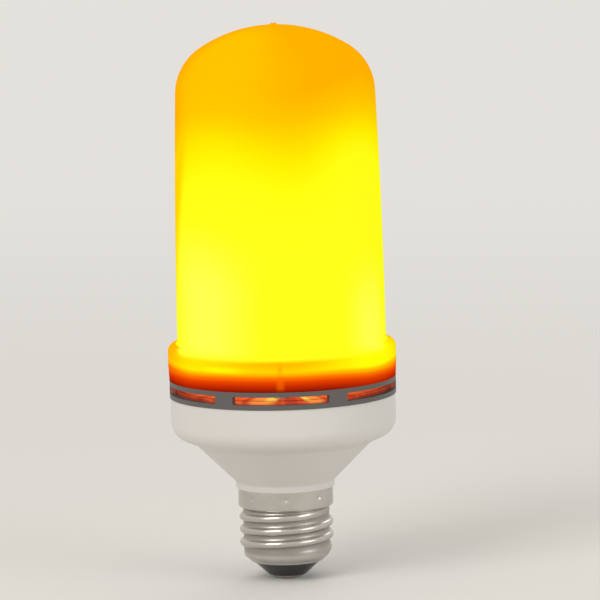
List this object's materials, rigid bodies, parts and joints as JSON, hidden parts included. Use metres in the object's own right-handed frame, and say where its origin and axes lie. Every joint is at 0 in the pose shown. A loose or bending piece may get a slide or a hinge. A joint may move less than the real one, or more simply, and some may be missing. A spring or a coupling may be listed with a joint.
{
  "type": "flame effect led bulb",
  "caption": "LED bulb with a frosted tube and low dome, a slotted vent ring, a tapered plastic housing and an Edison screw cap.",
  "frame": {"origin": "centre of the centre contact's end face, the lowest point of the bulb", "axes": "+Z along the screw cap's axis towards the dome, -Y to the front"},
  "size_m": [0.064, 0.064, 0.1563],
  "materials": {
    "frosted_shell": "frosted, lit from inside",
    "dark_plastic": "fine spark texture",
    "white_plastic": "semi-gloss moulding",
    "nickel_plate": "nickel plated, slightly dull",
    "black_insulator": "glossy",
    "contact_metal": "tinned",
    "board_white": "white solder mask",
    "board_green": "green solder mask",
    "screw_steel": "zinc plated",
    "former_plastic": "natural moulding",
    "chip_black": "moulded epoxy",
    "ferrite": "sintered",
    "copper_wire": "enamelled",
    "can_metal": "drawn can",
    "pin_header": "black header",
    "capacitor_sleeve": "shrink sleeve",
    "resistor_body": "flameproof coat",
    "wire_white": "insulated",
    "wire_black": "insulated",
    "led_package": "phosphor, lit"
  },
  "bodies": {
    "root": {"board_former": "former_plastic", "bridge_rectifier": "chip_black", "cap_insulator": "black_insulator", "carrier_board": "board_white", "carrier_screws": "screw_steel", "centre_contact": "contact_metal", "choke_core": "ferrite", "choke_winding": "copper_wire", "controller_chip": "chip_black", "diffuser": "frosted_shell", "driver_board": "board_green", "driver_chip": "chip_black", "fast_diode": "chip_black", "former_cap": "former_plastic", "fuse_resistor": "resistor_body", "input_capacitor": "capacitor_sleeve", "led_row_01": "led_package", "led_row_02": "led_package", "led_row_03": "led_package", "led_row_04": "led_package", "led_row_05": "led_package", "led_row_06": "led_package", "led_row_07": "led_package", "led_row_08": "led_package", "led_row_09": "led_package", "led_row_10": "led_package", "led_row_11": "led_package", "led_tube_board": "board_white", "live_wire": "wire_white", "lower_housing": "white_plastic", "neutral_wire": "wire_black", "output_capacitor": "capacitor_sleeve", "power_pins": "pin_header", "screw_shell": "nickel_plate", "tilt_switch": "can_metal", "vent_ring": "dark_plastic"}
  },
  "joints": []
}
